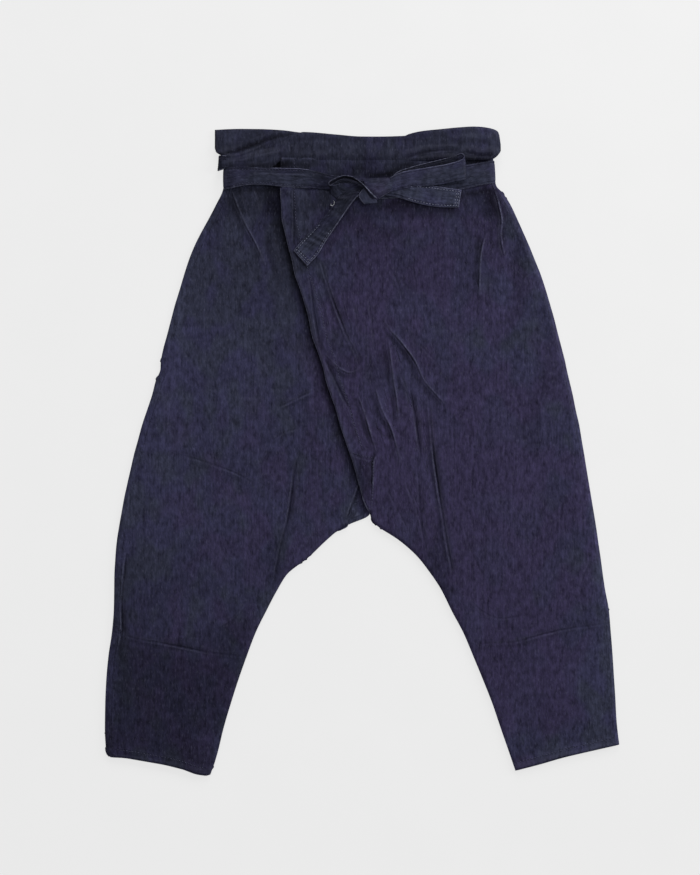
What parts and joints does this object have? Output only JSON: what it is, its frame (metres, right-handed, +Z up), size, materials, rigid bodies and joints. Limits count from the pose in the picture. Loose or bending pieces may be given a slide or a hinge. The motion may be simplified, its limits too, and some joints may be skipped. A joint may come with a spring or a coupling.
{
  "type": "momohiki trousers",
  "caption": "Indigo denim wrap trousers with tapered legs and a low crotch, laid flat, with waist ties in a bow at the front.",
  "frame": {"origin": "middle of the garment's outline on the surface that it lies on", "axes": "+X towards the wearer's left, the viewer's right, +Y towards the waistband, +Z up off the surface through the front"},
  "size_m": [0.719, 0.9072, 0.0211],
  "materials": {
    "denim": "raw dark indigo denim, slubby vertical weave, matt",
    "tie_denim": "the same denim folded into narrow ties, faintly paler along the edges"
  },
  "bodies": {
    "root": {"back_right": "denim", "back_left": "denim", "front_right": "denim", "front_left": "denim", "crotch_gusset": "denim", "waistband_back": "denim", "waistband_under": "denim", "waistband_over": "denim", "tie_back_lower": "tie_denim", "tie_back_upper": "tie_denim", "tie_left_run": "tie_denim", "tie_right_run": "tie_denim", "bow_knot": "tie_denim", "bow_loop_right": "tie_denim", "bow_loop_left": "tie_denim", "bow_tail_left": "tie_denim", "bow_tail_right": "tie_denim"}
  },
  "joints": []
}
